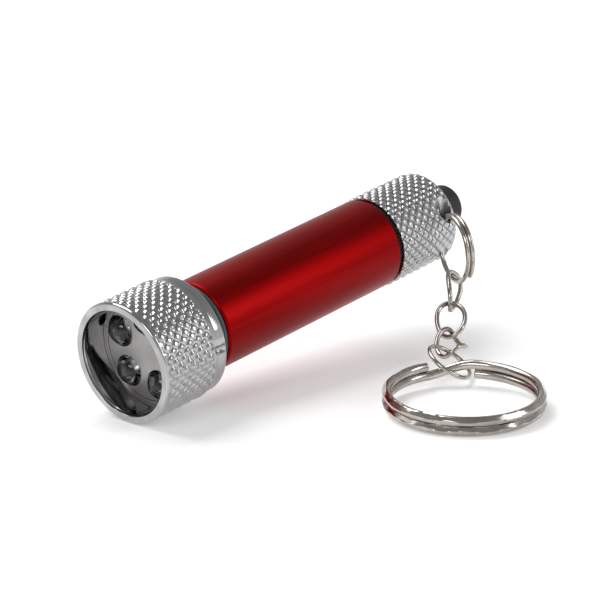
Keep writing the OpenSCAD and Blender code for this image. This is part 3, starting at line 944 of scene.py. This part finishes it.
def chain_frame():
    """Starts, ways and twists of the three links, then the connector's and the key ring's places."""
    hang = ring_point(HANG)
    key_base_z = floor_z + KEY_RING_D / 2 * math.sin(math.radians(KEY_TILT))
    ring_step, link_step = 2 * WIRE_R + FIRST_GAP, 2 * WIRE_R + LINK_GAP
    connector_step = WIRE_R + CONNECTOR_WIRE_R + LINK_GAP
    key_step = KEY_WIRE_R + CONNECTOR_WIRE_R + 2 * LINK_GAP
    run = 2 * CONNECTOR_R - connector_step - key_step
    fall = hang[2] - key_base_z - key_offset(KEY_HOOK)[2]
    reaches = (LINK_LINE - ring_step, LINK_LINE - link_step, LINK_LINE - link_step, run)
    ways = []
    for (azimuth, share), reach in zip(CHAIN_WAYS, reaches):
        ways.append(heading(azimuth, math.degrees(math.asin(fall * share / reach))))
    w1, w2, w3, w4 = ways
    s1 = hang - w1 * ring_step
    s2 = s1 + w1 * LINK_LINE - w2 * link_step
    s3 = s2 + w2 * LINK_LINE - w3 * link_step
    end = s3 + w3 * LINK_LINE
    wire_way = np.cross(RING_AXIS, ring_spoke(HANG))
    side_2, side_3 = square_to(SIDE, w2), square_to(SIDE, w3)
    twists = [
        (unit(np.cross(w1, square_to(wire_way, w1))), unit(np.cross(w1, SIDE))),
        (side_2, turn(side_2, w2, LINK_2_TWIST)),
        tuple(turn(side_3, w3, twist) for twist in LINK_3_TWISTS),
    ]
    links = list(zip((s1, s2, s3), (w1, w2, w3), twists))
    loop = end + w4 * (CONNECTOR_R - connector_step)
    loop_axis = turn(square_to(np.array([0, 0, 1.0]), w4), w4, CONNECTOR_TWIST)
    key_base = end + w4 * run - key_offset(KEY_HOOK)
    return links, loop, loop_axis, w4, key_base


def stadium(u):
    """A point of an oval with straight flanks: across and along."""
    r, straight = LINK_SIDE, LINK_LINE - 2 * LINK_SIDE
    length, quarter = u * (TAU * r + 2 * straight), math.pi * r / 2
    if length < quarter:
        a = length / r
        return r * math.sin(a), r - r * math.cos(a)
    if length < quarter + straight:
        return r, r + length - quarter
    if length < 3 * quarter + straight:
        a = (length - quarter - straight) / r
        return r * math.cos(a), r + straight + r * math.sin(a)
    if length < 3 * quarter + 2 * straight:
        return -r, r + straight - (length - 3 * quarter - straight)
    a = (length - 3 * quarter - 2 * straight) / r
    return -r * math.cos(a), r - r * math.sin(a)


def oval(u):
    """A point of a link's centreline before it is twisted, between a stadium and an ellipse."""
    across, along = stadium(u)
    a = TAU * u
    round_across, round_along = LINK_SIDE * math.sin(a), LINK_LINE / 2 * (1 - math.cos(a))
    return (across + LINK_ROUND * (round_across - across), along + LINK_ROUND * (round_along - along))


def make_link(number, start, way, twist):
    """An oval of wire, twisted along its length from one side vector to the other."""
    steps = 132
    side_a, side_b = twist
    angle = math.degrees(math.atan2(np.cross(side_a, side_b) @ way, side_a @ side_b))
    path, sides = [], []
    for i in range(steps):
        across, along = oval(i / steps)
        side = turn(side_a, way, angle * along / LINK_LINE)
        path.append(start + way * along + across * side)
        sides.append(np.cross(way, side))
    link = sweep(f"link_detail_{number}", path, sides, WIRE_R, f"link_{number}")
    dress(link, NICKEL)
    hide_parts(f"chain_link_{number}")


def make_chain():
    ring_step, loop_steps = 3.0, 120
    links, loop, loop_axis, way, key_base = chain_frame()
    for number, (start, run, twist) in enumerate(links, 1):
        make_link(number, start, run, twist)
    path = [ring_point(a) for a in np.arange(RING_FROM, RING_TO + 1, ring_step)]
    sides = [RING_AXIS] * len(path)
    small = sweep("small_ring_detail", path, sides, WIRE_R, "small_ring", closed=False)
    dress(small, NICKEL)
    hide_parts("small_split_ring")
    side = np.cross(loop_axis, way)
    turns = [TAU * i / loop_steps for i in range(loop_steps)]
    path = [loop + CONNECTOR_R * (side * math.cos(a) + way * math.sin(a)) for a in turns]
    connector = sweep("connector_detail", path, [loop_axis] * len(path), CONNECTOR_WIRE_R, "connector")
    dress(connector, NICKEL)
    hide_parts("connector_loop")
    make_key_ring(key_base)


def make_key_ring(base):
    """The wire has two flats hammered along its outer side, one that faces up and out and one that
    faces out and a little down. Each cuts deeper and shallower in turn, so that its edges wave."""
    flats = ((0.9, 31.0, 0.30), (-0.35, 43.0, 0.16))
    angles = np.linspace(0, 720 - KEY_GAP, 420)
    path = [base + key_offset(a) for a in angles]

    def hammered(offsets):
        out = offsets.copy()
        for k, (lift, period, depth) in enumerate(flats):
            for i, a in enumerate(angles):
                outward = unit(key_offset(a) - KEY_AXIS * (key_offset(a) @ KEY_AXIS))
                facing = unit(outward + KEY_AXIS * lift)
                wave = 0.5 + 0.5 * math.cos(TAU * a / period + k)
                limit = KEY_WIRE_R * (1 - depth * (0.25 + 0.75 * wave))
                reach = out[i] @ facing
                out[i] -= np.maximum(reach - limit, 0)[:, None] * facing
        return out

    sides = [KEY_AXIS] * len(path)
    ring = sweep("key_ring_detail", path, sides, KEY_WIRE_R, "key_ring", rim=32, closed=False,
                 shape=hammered, rounded=0.3)
    ring.data.set_sharp_from_angle(angle=math.radians(25))
    dress(ring, RING_NICKEL)
    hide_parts("key_ring")


# ---------------------------------------------------------------- pieces kept from the CAD

KEPT = {
    "led_plate": PLATE, "led_holder": BLACK, "led_board": BOARD, "front_spring": SPRING,
    "rear_spring": SPRING, "cell_sleeve": SLEEVE, "cell_1": CELL, "cell_2": CELL, "cell_3": CELL,
    "cell_4": CELL, "switch_retainer": BRASS, "switch_contact": BRASS, "switch_housing": BLACK,
    "switch_plunger": WHITE,
}
for node, material in KEPT.items():
    dress(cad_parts[node], material)

make_head()
make_leds()
make_barrel()
make_cap()
make_button()
make_switch_spring()
make_o_ring("head_o_ring", "head", BARREL_Z - HEAD_GAP / 2, HEAD_O_WIRE)
make_o_ring("tail_o_ring", "tail", BARREL_END_Z + TAIL_GAP / 2, TAIL_O_WIRE)
make_chain()

# ---------------------------------------------------------------- floor, light and camera


def make_floor():
    mesh = bpy.data.meshes.new("floor")
    far, z = 4.0, floor_z * MM
    mesh.from_pydata([(-far, -far, z), (far, -far, z), (far, far, z), (-far, far, z)], [], [(0, 1, 2, 3)])
    floor = bpy.data.objects.new("floor", mesh)
    bpy.context.scene.collection.objects.link(floor)
    f = Finish("floor_paper", Roughness=0.9, Emission_Strength=0.22, Emission_Color=(1, 1, 1, 1))
    f.shader.inputs["Specular IOR Level"].default_value = 0.1
    cloud = f.noise((3, 3, 3), detail=2, torch=False)
    f.colour(f.ramp(cloud, [(0.3, (0.93, 0.93, 0.93)), (0.7, (0.95, 0.95, 0.95))]))
    dress(floor, f.material)


def lamp(name, place, target, size, power):
    """A rectangular lamp that faces target. Its sizes are in metres, its power in watts."""
    data = bpy.data.lights.new(name, "AREA")
    data.shape = "RECTANGLE"
    data.size, data.size_y = size
    data.energy = power
    obj = bpy.data.objects.new(name, data)
    obj.location = place
    obj.rotation_euler = (Vector(target) - Vector(place)).to_track_quat("-Z", "Y").to_euler()
    bpy.context.scene.collection.objects.link(obj)


def make_world():
    """Soft grey all round, lighter towards the floor."""
    world = bpy.data.worlds.new("studio")
    world.use_nodes = True
    nodes, links = world.node_tree.nodes, world.node_tree.links
    back = nodes["Background"]
    split = nodes.new("ShaderNodeSeparateXYZ")
    ramp = nodes.new("ShaderNodeValToRGB")
    links.new(nodes.new("ShaderNodeTexCoord").outputs["Generated"], split.inputs[0])
    links.new(split.outputs["Z"], ramp.inputs["Fac"])
    stops = [(0.0, 0.85), (0.18, 0.72), (0.45, 0.42), (1.0, 0.30)]
    elements = ramp.color_ramp.elements
    while len(elements) < len(stops):
        elements.new(0.5)
    for element, (at, grey) in zip(elements, stops):
        element.position = at
        element.color = (grey, grey, grey, 1)
    links.new(ramp.outputs["Color"], back.inputs["Color"])
    back.inputs["Strength"].default_value = 0.95
    bpy.context.scene.world = world


def make_lamps():
    """A large key lamp above, behind and to the left; a weaker one in front; a strip on the right."""
    middle = Vector((0.035, -0.01, 0.0))
    right, away, up = Vector(SIDE), Vector(AWAY), Vector((0, 0, 1))
    key = middle - right * 0.30 + away * 0.22 + up * 0.62
    lamp("key", key, middle, (0.60, 0.46), 3.6)
    front = middle - away * 0.62 - right * 0.30 + up * 0.42
    lamp("front", front, middle, (0.34, 0.20), 1.0)
    strip = middle + right * 0.55 - away * 0.10 + up * 0.30
    lamp("right", strip, middle, (0.16, 0.34), 0.7)


def make_camera():
    data = bpy.data.cameras.new("camera")
    data.lens = 185.76
    data.sensor_width = 36.0
    data.clip_start = 0.02
    data.clip_end = 20.0
    camera = bpy.data.objects.new("camera", data)
    camera.location = (-0.30567, -0.31961, 0.14505)
    ahead = Vector((0.70169, 0.64973, -0.29237))
    camera.rotation_euler = ahead.to_track_quat("-Z", "Y").to_euler()
    bpy.context.scene.collection.objects.link(camera)
    bpy.context.scene.camera = camera


make_floor()
make_world()
make_lamps()
make_camera()
bpy.context.scene.view_settings.view_transform = "Standard"
